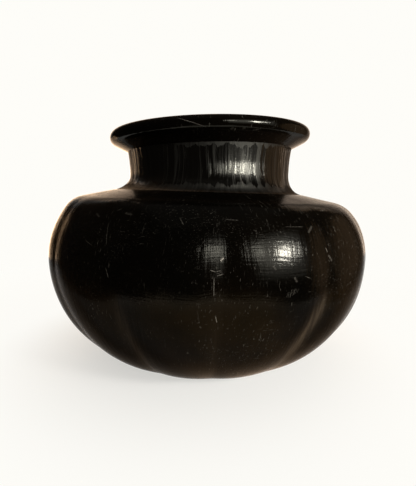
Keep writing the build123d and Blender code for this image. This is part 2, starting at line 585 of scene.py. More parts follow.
@dataclass(frozen=True)
class Wear:
    """Scratches seen on the outside, some of them painted highlight, and the clay low in the valleys that the
    polishing stone didn't reach, whose tan is partly a painted reflection.

    Attributes:
        form: Faces of the jar.
        seen: Scratches.
        reach: Distance from a scratch within which points know it.
        touch: Distance from a scratch within which it shows.
        far: Distance in widths where no scratch is near.
        taper: Share of a scratch's half length over which its end fades.
        dull_width: Half width of the dull clay in a valley.
        shaded_left_strength: Strength of the dull clay and its painted reflection on the left, kept low as
            painted shade.
        dull_from: Height at which the dull clay starts.
        dull_to: Height below which it is at its strongest.
        dull_sides: Rise of its strength with the sine of the bearing, up to 1.
    """

    form: JarForm
    seen: tuple[Scratch, ...]
    reach: float = 0.004
    touch: float = 0.0012
    far: float = 30.0
    taper: float = 0.4
    dull_width: float = 0.0060
    shaded_left_strength: float = 0.45
    dull_from: float = 0.092
    dull_to: float = 0.066
    dull_sides: float = 2.0

    @cached_property
    def _outline(self) -> tuple[Array, Array, Array]:
        """Heights, radii and runs up the outside as far as the top of the lip."""
        run = np.linspace(0.0, self.form.top_run, OUTLINE_STEPS)
        radius, height = self.form.outside_line(run)
        lip = self.form.rim_outline()
        lip = lip[1 : int(np.argmax(lip[:, 1]))]
        runs = np.append(run, np.full(len(lip), self.form.top_run))
        return np.append(height, lip[:, 1]), np.append(radius, lip[:, 0]), runs

    def _spot(self, bearing: Array, height: Array) -> Array:
        """Points of the outside at bearings and heights.

        Args:
            bearing: Angles from the front.
            height: Heights before they were set askew.

        Returns:
            Points.
        """
        heights, radii, runs = self._outline
        run = np.interp(height, heights, runs)
        radius = np.interp(height, heights, radii) - self.form.valleys(run, bearing)
        return self.form.place(radius + self.form.swell(height, bearing), height, bearing)

    @cached_property
    def _lines(self) -> tuple[Array, Array, Array, Array]:
        """Start, end, width and strength of every scratch, the strongest last."""
        rows = np.array([astuple(mark) for mark in sorted(self.seen, key=lambda mark: mark.strength)])
        turn, rise = np.radians(rows[:, 0:4:2]), rows[:, 1:4:2] / MM_PER_METRE
        start, end = self._spot(turn[:, 0], rise[:, 0]), self._spot(turn[:, 1], rise[:, 1])
        return start, end, rows[:, 4], rows[:, 5]

    def carried(self, points: Array) -> dict[str, Array]:
        """Numbers that a piece's mesh carries for its finish.

        Args:
            points: Points of a piece.

        Returns:
            One number per point, by name.
        """
        across, strength = self.over(points)
        rise = self.form.level_height(points)
        return {"mark_across": across, "mark_strength": strength, "rise": rise, "dull_and_painted_reflection": self.dull_and_painted_reflection(points)}

    def dull_and_painted_reflection(self, points: Array) -> Array:
        """Share of dull clay low in the valleys at the sides, with its painted reflection, weaker on the left
        as painted shade: a bell across each valley.

        Args:
            points: Points of a piece.

        Returns:
            Shares from 0 to 1.
        """
        heights, radii, runs = self._outline
        rise = self.form.level_height(points)
        bearing = np.arctan2(points[:, 0], -points[:, 1])
        part = self.form.nearest_valley(np.interp(rise, heights, runs), bearing)[1]
        pitch = FULL_TURN * np.interp(rise, heights, radii) / self.form.lobe_count
        turned = np.abs(np.sin(bearing - self.form.valley_bearing))
        sideways = np.clip(self.dull_sides * turned, 0.0, 1.0)
        low = smooth_step(rise, self.dull_from, self.dull_to)
        # Weaker on the left: painted shade on the side away from the window
        low = low * np.where(bearing < 0.0, self.shaded_left_strength, 1.0)
        return low * sideways * np.exp(-((part * pitch / self.dull_width) ** 2))

    def over(self, points: Array) -> tuple[Array, Array]:
        """Strongest scratch that touches each point: the distance across it and the strength along it.

        The distance is signed, counted in widths of the scratch and measured square to it in the face of
        the clay, so that it crosses nought on the scratch's own line. The strength tapers off at both ends.

        Args:
            points: Points of a piece.

        Returns:
            Distances, far off where no scratch is near, and strengths from 0 to 1.
        """
        across = np.full(len(points), self.far)
        nearest = np.full(len(points), self.reach)
        strength = np.zeros(len(points))
        for start, end, width, most in zip(*self._lines):
            low, high = np.minimum(start, end) - self.reach, np.maximum(start, end) + self.reach
            near = np.flatnonzero(np.all((points > low) & (points < high), axis=1))
            if not len(near):
                continue
            line = end - start
            outward = np.append((start + end)[:2], 0.0)
            square = np.cross(outward, line)
            away = (points[near] - start) @ (square / np.linalg.norm(square))
            share = (points[near] - start) @ line / (line @ line)
            gap = np.abs(away)
            own = ((gap < self.touch) | (gap < nearest[near])) & (share > 0.0) & (share < 1.0)
            near, away, share, gap = near[own], away[own], share[own], gap[own]
            nearest[near] = gap
            across[near] = away / width
            taper = smooth_step(1.0 - np.abs(2.0 * share - 1.0), 0.0, self.taper)
            strength[near] = most * taper * (gap < self.touch)
        return across, strength


# Clearest scratches over the front, and four strokes of painted highlight, placed to half a degree and half a
# millimetre
FINE, BROAD = 0.0002, 0.0006
SEEN_MARKS = (
    Scratch(-15.5, 207.5, -1.0, 199.5, FINE, 0.28),
    Scratch(9.5, 198.0, 11.5, 199.5, BROAD, 0.06),
    Scratch(15.0, 198.5, 17.0, 199.5, BROAD, 0.06),
    Scratch(20.5, 198.0, 24.0, 199.0, BROAD, 0.06),
    Scratch(18.5, 166.5, 20.0, 157.5, FINE, 0.25),
    Scratch(3.5, 110.5, 4.5, 113.0, BROAD, 1.0),
    Scratch(1.0, 105.5, 2.5, 104.0, FINE, 0.45),
    Scratch(1.5, 104.0, 4.0, 105.0, FINE, 0.40),
    Scratch(2.5, 101.5, 4.5, 103.0, FINE, 0.40),
    Scratch(2.0, 101.5, 2.0, 88.0, FINE, 0.35),
    Scratch(2.5, 75.5, 3.0, 70.0, FINE, 0.45),
    Scratch(35.0, 116.5, 35.5, 112.5, FINE, 0.45),
    Scratch(35.5, 111.5, 37.0, 106.5, BROAD, 0.22),
    Scratch(29.0, 126.5, 32.0, 131.5, BROAD, 0.16),
    Scratch(21.5, 131.5, 28.5, 131.0, FINE, 0.12),
    Scratch(16.5, 108.0, 17.5, 105.0, BROAD, 0.14),
    Scratch(22.5, 100.0, 23.5, 96.0, BROAD, 0.16),
    Scratch(26.0, 99.5, 28.0, 97.5, FINE, 0.22),
    Scratch(5.0, 136.0, 9.0, 135.5, FINE, 0.15),
    Scratch(41.0, 130.5, 41.0, 125.5, FINE, 0.25),
    # Painted highlight: four short bright strokes below the window's gloss, drawn as scratches
    Scratch(20.5, 86.5, 21.0, 90.5, FINE, 0.12),
    Scratch(21.5, 86.0, 22.0, 92.0, FINE, 0.18),
    Scratch(22.5, 87.5, 23.0, 92.5, FINE, 0.18),
    Scratch(23.5, 88.5, 24.0, 92.0, FINE, 0.12),
    Scratch(-36.0, 137.0, -33.5, 134.5, BROAD, 0.08),
    Scratch(-25.5, 138.0, -22.0, 137.0, BROAD, 0.10),
    Scratch(-29.5, 132.0, -28.0, 116.5, FINE, 0.14),
    Scratch(-36.0, 119.5, -32.5, 116.0, FINE, 0.14),
    Scratch(-27.5, 103.0, -26.5, 95.5, FINE, 0.22),
    Scratch(-7.5, 137.0, -6.0, 132.0, FINE, 0.20),
    Scratch(-5.5, 46.0, -4.5, 47.0, BROAD, 0.10),
)


@dataclass
class ClayPiece:
    """One coil or pat of clay, as a closed mesh made of strips that share their end rows.

    Attributes:
        name: Name of the piece.
        node: Node of the frame that it stands for.
        slot: Material slot of the record; not used.
        strips: Faces in order: up the outside, in over the top, down the inside and out below.
        poles: Whether the first and the last row are single points on the axis.
    """

    name: str
    node: str
    slot: str
    strips: list[Strip]
    poles: bool = False

    def build(self, finishes: list[bpy.types.Material], wear: Wear) -> bpy.types.Object:
        """Make the mesh, put its finishes and wear on it and fix it to the frame.

        Args:
            finishes: Materials in the order of Face.
            wear: Scratches and dull clay of the outside.

        Returns:
            The finished piece.
        """
        mesh = self._mesh()
        for finish in finishes:
            mesh.materials.append(finish)
        points = np.empty(len(mesh.vertices) * 3)
        mesh.vertices.foreach_get("co", points)
        for name, values in wear.carried(points.reshape(-1, 3)).items():
            mesh.attributes.new(name, "FLOAT", "POINT").data.foreach_set("value", values.astype(np.float32))
        piece = put(self.name, mesh)
        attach(piece, "root")
        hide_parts(self.node)
        return piece

    def _mesh(self) -> bpy.types.Mesh:
        """Join the strips into one closed grid: the last row is the first again, or each end is a pole.

        Returns:
            The mesh.
        """
        rows = [strip.points[:-1] for strip in self.strips]
        if self.poles:
            rows.append(self.strips[-1].points[-1:])
        grid = np.concatenate(rows)
        count, columns = grid.shape[:2]
        index = np.arange(count * columns).reshape(count, columns)
        if self.poles:
            index[0], index[-1] = index[0, 0], index[-1, 0]
        else:
            index = np.vstack([index, index[:1]])
        normals = np.concatenate([ring_quads(strip.normals) for strip in self.strips])
        sides = [np.full((len(strip.points) - 1) * columns, strip.face.value) for strip in self.strips]
        mesh = bpy.data.meshes.new(self.name)
        self._fill(mesh, grid.reshape(-1, 3), ring_quads(index), normals, np.concatenate(sides))
        return mesh

    @staticmethod
    def _fill(mesh: bpy.types.Mesh, points: Array, corners: Array, normals: Array, sides: Array) -> None:
        """Put points and faces into a mesh, with fans of triangles at the poles.

        Args:
            mesh: Empty mesh.
            points: Points of the grid.
            corners: Four point numbers per face, two of them the same at a pole.
            normals: Normal at each corner.
            sides: Number of each face's material.
        """
        keep = corners != np.roll(corners, 1, axis=1)
        counts = keep.sum(axis=1)
        used, loops = np.unique(corners[keep], return_inverse=True)
        mesh.vertices.add(len(used))
        mesh.vertices.foreach_set("co", points[used].astype(np.float32).ravel())
        mesh.loops.add(len(loops))
        mesh.loops.foreach_set("vertex_index", loops.astype(np.int32).ravel())
        mesh.polygons.add(len(counts))
        starts = np.concatenate([[0], np.cumsum(counts)[:-1]])
        mesh.polygons.foreach_set("loop_start", starts.astype(np.int32))
        mesh.polygons.foreach_set("material_index", sides.astype(np.int32))
        mesh.polygons.foreach_set("use_smooth", np.ones(len(counts), dtype=bool))
        mesh.update(calc_edges=True)
        mesh.validate()
        mesh.normals_split_custom_set(normals[keep].astype(np.float32))


@dataclass
class CoilPot:
    """Base pat and coils of the pot, its neck and its rim."""

    form: JarForm
    pat_rise: float = 0.024
    wall_coils: int = 6
    shoulder_coils: int = 2
    front_reach: float = radians(75)
    front_columns: int = 600
    back_columns: int = 360
    row_step: float = 0.00075
    inside_rows: int = 6
    floor_rows: int = 24
    edge_rows: int = 9
    bore_rows: int = 8
    slope_rows: int = 4

    @cached_property
    def bearings(self) -> Array:
        """Bearings of the columns, closer together over the front than over the back."""
        front = np.linspace(-self.front_reach, self.front_reach, self.front_columns, endpoint=False)
        back = np.linspace(self.front_reach, FULL_TURN - self.front_reach, self.back_columns, endpoint=False)
        return np.concatenate([front, back])

    @cached_property
    def joint_runs(self) -> Array:
        """Runs of the joints from the base pat up to the neck."""
        return np.linspace(self.pat_rise, self.form.foot_run, self.wall_coils + self.shoulder_coils + 1)

    def pieces(self) -> list[ClayPiece]:
        """All pieces, from the base up."""
        return [self.base(), *self.coils(), *self.neck(), self.rim()]

    def outer(self, low: float, high: float) -> Strip:
        """Outside between two runs."""
        steps = np.linspace(low, high, int((high - low) / self.row_step) + 2)
        return face_strip(self.form.outside, steps, self.bearings, Face.OUTSIDE)

    def inner(self, high: float, low: float) -> Strip:
        """Inside of the wall from one run down to another.

        Args:
            high: Run at the top.
            low: Run at the foot.

        Returns:
            The strip.
        """

        def lowered(step: Array, bearing: Array) -> Array:
            """Points of the inside, a step down from the top."""
            return self.form.inside(high - step, bearing)

        return face_strip(lowered, np.linspace(0.0, high - low, self.inside_rows), self.bearings, Face.INSIDE)

    def profile(self, radii: Array | float, heights: Array | float, face: Face) -> Strip:
        """Face turned from an outline whose points are joined by straight lines.

        Args:
            radii: Radius of each point of the outline, or of all.
            heights: Height of each point, or of all.
            face: Side of the clay.

        Returns:
            The strip.
        """
        points = np.stack(np.broadcast_arrays(radii, heights), axis=-1)
        slope = np.gradient(points, axis=0)

        def turned(step: Array, bearing: Array) -> Array:
            """Points on the outline's line nearest each step.

            Args:
                step: Steps along the outline.
                bearing: Angles from the front.

            Returns:
                Points, broadcast over both arguments.
            """
            row = np.clip(np.round(step), 0, len(points) - 1).astype(int)
            at = points[row] + slope[row] * (step - row)[..., None]
            return self.form.place(at[..., 0], at[..., 1], bearing)

        return face_strip(turned, np.arange(len(points), dtype=float), self.bearings, face)

    @staticmethod
    def ring(node: str, slot: str, outer: Strip, inner: Strip) -> ClayPiece:
        """Close a coil with a lapped joint above and below.

        Args:
            node: Node of the frame.
            slot: Material slot of the record.
            outer: Outside of the coil, upwards.
            inner: Inside of the coil, downwards.

        Returns:
            The piece.
        """
        top = joint_strip(outer.points[-1], inner.points[0])
        below = joint_strip(inner.points[-1], outer.points[0])
        return ClayPiece(f"{node}_clay", node, slot, [outer, top, inner, below])

    def base(self) -> ClayPiece:
        """Base pat: worn underside, rounded edge, outside up to the first joint, and the floor within.

        The rounded edge is a parabola from the flat underside to the wall, drawn towards their corner.

        Returns:
            The piece.
        """
        form, top = self.form, float(self.joint_runs[0])
        flat = np.linspace(0.0, form.base_radius - form.edge_wear, self.floor_rows)
        underside = self.profile(flat, 0.0, Face.UNDERSIDE)
        share = np.linspace(0.0, 1.0, self.edge_rows)[:, None]
        corner, wall = np.array([form.base_radius, 0.0]), form.wall_point(form.edge_wear)
        arch = (1 - share) ** 2 * [flat[-1], 0.0] + 2 * share * (1 - share) * corner + share**2 * wall
        worn = self.profile(*arch.T, Face.UNDERSIDE)
        outer = self.outer(form.edge_wear, top)
        worn.points[-1] = outer.points[0]
        lean = asin((form.floor - form.belly_height) / (form.lower_arc - form.wall))
        floor_run = form.lower_arc * (lean + form.base_lean)
        inner = self.inner(top - JOINT_LAP, floor_run)
        lap = joint_strip(outer.points[-1], inner.points[0])
        within = np.linspace(form.wall_point(floor_run, form.wall)[0], 0.0, self.floor_rows)
        floor = self.profile(within, form.floor, Face.INSIDE)
        strips = [underside, worn, outer, lap, inner, floor]
        return ClayPiece("moulded_base", "base_pat", "base_clay", strips, poles=True)

    def coils(self) -> list[ClayPiece]:
        """Wall and shoulder coils, each between its two lapped joints.

        Returns:
            The pieces, from the lowest up.
        """
        names = [f"wall_coil_{number + 1}" for number in range(self.wall_coils)]
        names += [f"shoulder_coil_{number + 1}" for number in range(self.shoulder_coils)]
        pieces = []
        for name, low, high in zip(names, self.joint_runs, self.joint_runs[1:]):
            inner = self.inner(high - JOINT_LAP, low - JOINT_LAP)
            pieces.append(self.ring(name, "burnished_clay", self.outer(low, high), inner))
        return pieces

    def neck(self) -> list[ClayPiece]:
        """Two neck coils, the lower with its foot lapped inside the shoulder.

        Returns:
            The lower and the upper piece.
        """
        form = self.form
        middle_height = (form.neck_start + form.neck_top) / 2.0
        middle = form.flare_run(middle_height)
        corner = form.wall_point(form.slope_run(form.bore, form.wall), form.wall)
        foot = form.wall_point(form.foot_run - JOINT_LAP, form.wall)
        heights = np.linspace(middle_height - JOINT_LAP, corner[1], self.bore_rows)
        bore = np.stack([np.full_like(heights, form.bore), heights], axis=-1)
        within = np.vstack([bore, np.linspace(corner, foot, self.slope_rows)[1:]])
        inside = self.profile(*within.T, Face.INSIDE)
        heights = np.linspace(form.neck_top, middle_height, self.bore_rows) - JOINT_LAP
        throat = self.profile(form.bore, heights, Face.INSIDE)
        return [
            self.ring("neck_coil_1", "neck_clay", self.outer(form.foot_run, middle), inside),
            self.ring("neck_coil_2", "neck_clay", self.outer(middle, form.top_run), throat),
        ]

    def rim(self) -> ClayPiece:
        """Rim coil, turned out over the neck and rounded at its lip.

        Returns:
            The piece.
        """
        lip = self.profile(*self.form.rim_outline().T, Face.OUTSIDE)
        seat = joint_strip(lip.points[-1], lip.points[0])
        return ClayPiece("rolled_rim", "rim_coil", "burnished_clay", [lip, seat])


@dataclass(frozen=True)
class Pattern:
    """Cloudy pattern and the part of its range that shows.

    Attributes:
        scale: Fineness of the pattern.
        detail: Number of finer layers.
        roughness: Strength of the finer layers.
        drawn: Scale of the coordinates around and up the jar.
        low: Value from which it shows.
        high: Value at which it shows in full.
    """

    scale: float
    detail: float = 2.0
    roughness: float = 0.5
    drawn: Span | None = None
    low: float = 0.0
    high: float = 1.0


class Bench:
    """Short hand for building a material's nodes.

    Attributes:
        ragged: Fine pattern that breaks up scratches.
        ragged_span: Strength of a scratch where that pattern is low and high.
        noise_middle: Middle of a pattern's three channels.
    """

    ragged: Pattern = Pattern(1500.0, low=0.38, high=0.60)
    ragged_span: Span = (0.35, 1.2)
    noise_middle: tuple[float, float, float] = (0.5, 0.5, 0.5)

    def __init__(self, name: str) -> None:
        """Start a material with its output.

        Args:
            name: Name of the material.
        """
        self.material = bpy.data.materials.new(name)
        self.material.use_nodes = True
        self.tree = self.material.node_tree
        self.tree.nodes.clear()
        self.output = self.tree.nodes.new("ShaderNodeOutputMaterial")

    def join(self, value: object, socket: Socket) -> None:
        """Link a socket to an input, or set a plain value on it.

        Args:
            value: Socket or plain value.
            socket: Input of a node.
        """
        if isinstance(value, bpy.types.NodeSocket):
            self.tree.links.new(value, socket)
        else:
            socket.default_value = value

    def add(
        self, kind: str, settings: dict[str, object] | None = None, *values: object, **named: object
    ) -> bpy.types.Node:
        """Add a node, with settings on the node and values or links on its inputs.

        Args:
            kind: Blender's name of the node.
            settings: Properties of the node.
            values: Values or sockets for the first inputs, in order.
            named: Values or sockets for inputs, by name with underscores.

        Returns:
            The node.
        """
        node = self.tree.nodes.new(kind)
        for key, value in (settings or {}).items():
            setattr(node, key, value)
        for socket, value in zip(node.inputs, values):
            self.join(value, socket)
        for key, value in named.items():
            self.join(value, node.inputs[key.replace("_", " ")])
        return node

    def sums(self, operation: str, *values: object) -> Socket:
        """Arithmetic on one to three numbers."""
        return self.add("ShaderNodeMath", {"operation": operation}, *values).outputs[0]

    def times(self, first: object, second: object) -> Socket:
        """Product of two numbers."""
        return self.sums("MULTIPLY", first, second)

    def times_plus(self, first: object, second: object, third: object) -> Socket:
        """Product of two numbers, plus a third."""
        return self.sums("MULTIPLY_ADD", first, second, third)

    def vectors(self, operation: str, *values: object) -> Socket:
        """Arithmetic on one to three vectors."""
        return self.add("ShaderNodeVectorMath", {"operation": operation}, *values).outputs[0]

    def spread(self, value: Socket, span: Span, low: object = 0.0, high: object = 1.0) -> Socket:
        """Map a span onto values from `low` to `high`, smoothly and held at its ends."""
        settings = {"interpolation_type": "SMOOTHSTEP"}
        return self.add("ShaderNodeMapRange", settings, value, *span, low, high).outputs[0]

    def between(self, share: Socket, first: object, second: object) -> Socket:
        """Number that goes smoothly from the first to the second as a share goes from 0 to 1."""
        return self.spread(share, (0.0, 1.0), first, second)

    def noise(self, where: Socket, pattern: Pattern) -> Socket:
        """Whole range of a pattern.

        Args:
            where: Coordinates.
            pattern: Pattern.

        Returns:
            Number between 0 and 1.
        """
        if pattern.drawn:
            where = self.stretch(where, *pattern.drawn)
        inputs = {"Scale": pattern.scale, "Detail": pattern.detail, "Roughness": pattern.roughness}
        return self.add("ShaderNodeTexNoise", None, Vector=where, **inputs).outputs["Fac"]

    def shown(self, where: Socket, pattern: Pattern, low: object = 0.0, high: object = 1.0) -> Socket:
        """Part of a pattern that shows, from `low` to `high`."""
        return self.spread(self.noise(where, pattern), (pattern.low, pattern.high), low, high)

    def blend(self, share: object, first: object, second: object) -> Socket:
        """Mix of two colours.

        Args:
            share: Share of the second colour.
            first: Colour where the share is 0.
            second: Colour where the share is 1.

        Returns:
            The mixed colour.
        """
        node = self.add("ShaderNodeMix", {"data_type": "RGBA"})
        for key, kind, value in (("Factor", "VALUE", share), ("A", "RGBA", first), ("B", "RGBA", second)):
            self.join(value, next(s for s in node.inputs if s.name == key and s.type == kind))
        return next(s for s in node.outputs if s.type == "RGBA")

    def stretch(self, where: Socket, around: float, up: float) -> Socket:
        """Coordinates scaled around and up the jar."""
        return self.vectors("MULTIPLY", where, (around, around, up))

    def coordinates(self) -> Socket:
        """Object coordinates."""
        return self.add("ShaderNodeTexCoord").outputs["Object"]

    def wrapped(self, radius: float) -> Socket:
        """Object coordinates drawn onto a cylinder, so that patterns run straight up the wall.

        Args:
            radius: Radius of the cylinder.

        Returns:
            The coordinates.
        """
        where = self.coordinates()
        level = self.vectors("NORMALIZE", self.stretch(where, 1.0, 0.0))
        return self.vectors("ADD", self.stretch(level, radius, 0.0), self.stretch(where, 0.0, 1.0))

    def wander(self, where: Socket, scale: float, reach: float) -> Socket:
        """Coordinates pushed to and fro by a cloudy pattern, so that straight strokes wander.

        Args:
            where: Coordinates.
            scale: Fineness of the pattern.
            reach: Length of the push over the pattern's whole range.

        Returns:
            The pushed coordinates.
        """
        cloud = self.add("ShaderNodeTexNoise", None, Vector=where, Scale=scale, Detail=1.0).outputs["Color"]
        shift = self.vectors("SUBTRACT", cloud, self.noise_middle)
        return self.vectors("MULTIPLY_ADD", shift, (reach, reach, reach), where)

    def marks(self, where: Socket) -> Socket:
        """Scratches that the mesh carries, as a bell across each line, broken up by a fine pattern.

        Args:
            where: Coordinates of the fine pattern.

        Returns:
            Strength of the scratches.
        """
        across = self.attribute("mark_across")
        bell = self.sums("EXPONENT", self.times(self.times(across, across), -1.0))
        ragged = self.shown(where, self.ragged, *self.ragged_span)
        return self.times(self.times(bell, self.attribute("mark_strength")), ragged)

    def facing(self) -> Socket:
        """Share from 0 where the face is seen straight on to 1 where it is seen edge on."""
        return self.add("ShaderNodeLayerWeight", None, Blend=0.5).outputs["Facing"]

    def attribute(self, name: str) -> Socket:
        """Number that the mesh carries."""
        return self.add("ShaderNodeAttribute", {"attribute_name": name}).outputs["Fac"]

    def shade(self, bump: Socket, depth: float, **inputs: object) -> bpy.types.Material:
        """Join a shader with fine relief to the output.

        Args:
            bump: Relief between 0 and 1.
            depth: Depth of the relief.
            inputs: Inputs of the shader.

        Returns:
            The material.
        """
        normal = self.add("ShaderNodeBump", None, Height=bump, Distance=depth, Strength=1.0).outputs[0]
        shader = self.add("ShaderNodeBsdfPrincipled", None, Normal=normal, **inputs)
        self.join(shader.outputs[0], self.output.inputs["Surface"])
        return self.material


@dataclass(frozen=True, kw_only=True)
class SlipClay:
    """What the polished finishes share.

    Attributes:
        bare: Colour of the clay in scuffs.
        tint: Tint of the gloss.
        dust_roughness: Spread of the light on the dust.
        dust_tint: Tint of the dust.
        turning: Turn of the face, from straight on to edge on, over which the gloss falls off.
    """

    bare: Colour = (0.30, 0.27, 0.22, 1.0)
    tint: Colour = (1.0, 0.96, 0.80, 1.0)
    dust_roughness: float = 0.3
    dust_tint: Colour = (1.0, 0.66, 0.40, 1.0)
    turning: Span = (0.15, 0.75)


@dataclass(frozen=True, kw_only=True)
class BurnishedClay(SlipClay):
    """Black slip rubbed to a gloss with a polishing stone, less glossy low on the wall, where its brown
    colour and the brown tint of its gloss are a painted reflection of a brown table.
    """

    name: str = "burnished_black_clay"
    lay: Lay = Lay.UPRIGHT
    radius: float = JarForm.belly_radius

    # Colours, and the heights over which the wall turns brown downwards: this brown is a painted reflection
    # of a brown table, and higher up brown shows only in random clouds
    black: Colour = (0.0007, 0.0006, 0.0004, 1.0)
    brown: Colour = (0.0060, 0.0036, 0.0014, 1.0)
    # Tan of the dull clay in the valleys, lighter as a painted reflection
    tan: Colour = (0.050, 0.036, 0.023, 1.0)
    brown_tint: Colour = (1.0, 0.72, 0.40, 1.0)
    brown_heights: Span = (0.070, 0.104)
    black_clouds: float = 0.2

    # Gloss, which the handled shoulder has less of, and dust
    gloss: Span = (0.06, 0.13)
    shine: float = 0.20
    edge_shine: float = 0.0012
    brown_shine: float = 0.065
    brown_turn: float = 0.16
    dull_roughness: float = 0.2
    scuff_roughness: float = 0.5
    worn_gloss: float = 0.10
    worn_heights: Span = (0.136, 0.150)
    unworn_heights: Span = (0.150, 0.156)
    dust: float = 0.15
    dust_above: float = 0.05
    dust_shoulder: float = 0.05

    # Strokes of the stone, in gloss and relief
    wandering: Span = (22.0, 0.010)
    stroke: Pattern = Pattern(420.0, 3.0, 0.6)
    cross: Pattern = Pattern(700.0, 3.0, 0.6)
    grain: Pattern = Pattern(900.0, 3.0, 0.6)
    gloss_strokes: Span = (0.25, 0.75)
    dull_strokes: Span = (0.35, 0.65)
    dull_least: float = 0.4
    relief: float = 0.0004
    stroke_relief: float = 0.5
    grain_relief: float = 0.15
    cross_relief: Span = (0.35, 0.06)

    # Flecks and crooked hairlines, gathered in patches
    patch: Pattern = Pattern(16.0, 3.0, 0.6)
    cloud_patches: Span = (0.35, 0.7)
    fleck: Pattern = Pattern(760.0, drawn=(1.0, 0.45), low=0.655, high=0.75)
    fleck_patches: Span = (0.42, 0.66)
    fleck_strength: Span = (0.02, 0.13)
    crooked: tuple[Span, Span] = ((20.0, 0.012), (130.0, 0.003))
    hairs_up: Pattern = Pattern(1100.0, 1.0, drawn=(1.0, 0.12), low=0.68, high=0.76)
    hairs_around: Pattern = Pattern(1100.0, 1.0, drawn=(0.12, 1.0), low=0.71, high=0.79)
    worked: Pattern = Pattern(38.0, low=0.46, high=0.64)
    rubbed: Pattern = Pattern(1700.0, drawn=(0.4, 1.0), low=0.62, high=0.74)
    cluster: Pattern = Pattern(26.0, low=0.50, high=0.66)
    hairs: float = 0.10
    hairs_least: float = 0.02

    def material(self) -> bpy.types.Material:
        """Nodes of the finish: stroke pattern in gloss and relief, flecks and scuffs in colour.

        Returns:
            The material.
        """
        bench = Bench(self.name)
        where = bench.wrapped(self.radius)
        drawn = bench.wander(where, *self.wandering)
        stroke = bench.noise(bench.stretch(drawn, *self.lay.value), self.stroke)
        cross = bench.noise(bench.stretch(drawn, *reversed(self.lay.value)), self.cross)
        patch = bench.noise(where, self.patch)
        rise = bench.attribute("rise")
        # Share of the brown low on the wall, a painted reflection of a brown table that also tints the gloss
        # there
        table_reflection = bench.spread(rise, self.brown_heights, 1.0, 0.0)
        scuff = self._scuffs(bench, where, patch)
        dull_and_painted_reflection = bench.spread(stroke, self.dull_strokes, self.dull_least, 1.0)
        dull_and_painted_reflection = bench.times(bench.attribute("dull_and_painted_reflection"), dull_and_painted_reflection)
        cloudy = bench.times(
            bench.spread(patch, self.cloud_patches),
            bench.between(table_reflection, self.black_clouds, 1.0),
        )
        # Ground: black with brown clouds, the brown low on the wall a painted reflection of a brown table,
        # and tan in the valleys partly a painted reflection
        ground = bench.blend(dull_and_painted_reflection, bench.blend(cloudy, self.black, self.brown), self.tan)
        handled = bench.times(
            bench.spread(rise, self.worn_heights, 0.0, self.worn_gloss),
            bench.spread(rise, self.unworn_heights, 1.0, 0.0),
        )
        rough = bench.spread(stroke, self.gloss_strokes, *self.gloss)
        rough = bench.times_plus(dull_and_painted_reflection, self.dull_roughness, rough)
        rough = bench.times_plus(scuff, self.scuff_roughness, bench.sums("ADD", rough, handled))
        turned = bench.times_plus(table_reflection, self.brown_turn, bench.facing())
        shine = bench.between(table_reflection, self.shine, self.brown_shine)
        dust = bench.between(table_reflection, self.dust_above, self.dust)
        relief = bench.times(cross, bench.between(table_reflection, *self.cross_relief))
        relief = bench.times_plus(stroke, self.stroke_relief, relief)
        relief = bench.times_plus(bench.noise(where, self.grain), self.grain_relief, relief)
        return bench.shade(
            relief,
            self.relief,
            Base_Color=bench.blend(scuff, ground, self.bare),
            Roughness=rough,
            Specular_IOR_Level=bench.spread(turned, self.turning, shine, self.edge_shine),
            Specular_Tint=bench.blend(table_reflection, self.tint, self.brown_tint),
            Sheen_Weight=bench.times(dust, bench.spread(rise, self.worn_heights, 1.0, self.dust_shoulder)),
            Sheen_Roughness=self.dust_roughness,
            Sheen_Tint=self.dust_tint,
        )

    def _scuffs(self, bench: Bench, where: Socket, patch: Socket) -> Socket:
        """Nodes of the bare clay in scratches, flecks and hairlines.

        Args:
            bench: Bench of the material.
            where: Coordinates on the wall.
            patch: Patches in which flecks gather.

        Returns:
            Share of bare clay, from 0 to 1.
        """
        fleck = bench.shown(where, self.fleck)
        fleck = bench.times(fleck, bench.spread(patch, self.fleck_patches, *self.fleck_strength))
        crooked = where
        for scale, reach in self.crooked:
            crooked = bench.wander(crooked, scale, reach)
        lines = [bench.shown(crooked, pattern) for pattern in (self.hairs_up, self.hairs_around)]
        worked = bench.shown(where, self.worked, self.hairs_least, self.hairs)
        hairs = bench.times(bench.sums("MAXIMUM", *lines), worked)
        cluster = bench.shown(where, self.cluster, 0.0, self.hairs)
        hairs = bench.times_plus(bench.shown(crooked, self.rubbed), cluster, hairs)
        scuff = bench.sums("MAXIMUM", bench.marks(where), bench.sums("MAXIMUM", hairs, fleck))
        return bench.sums("MINIMUM", scuff, 1.0)


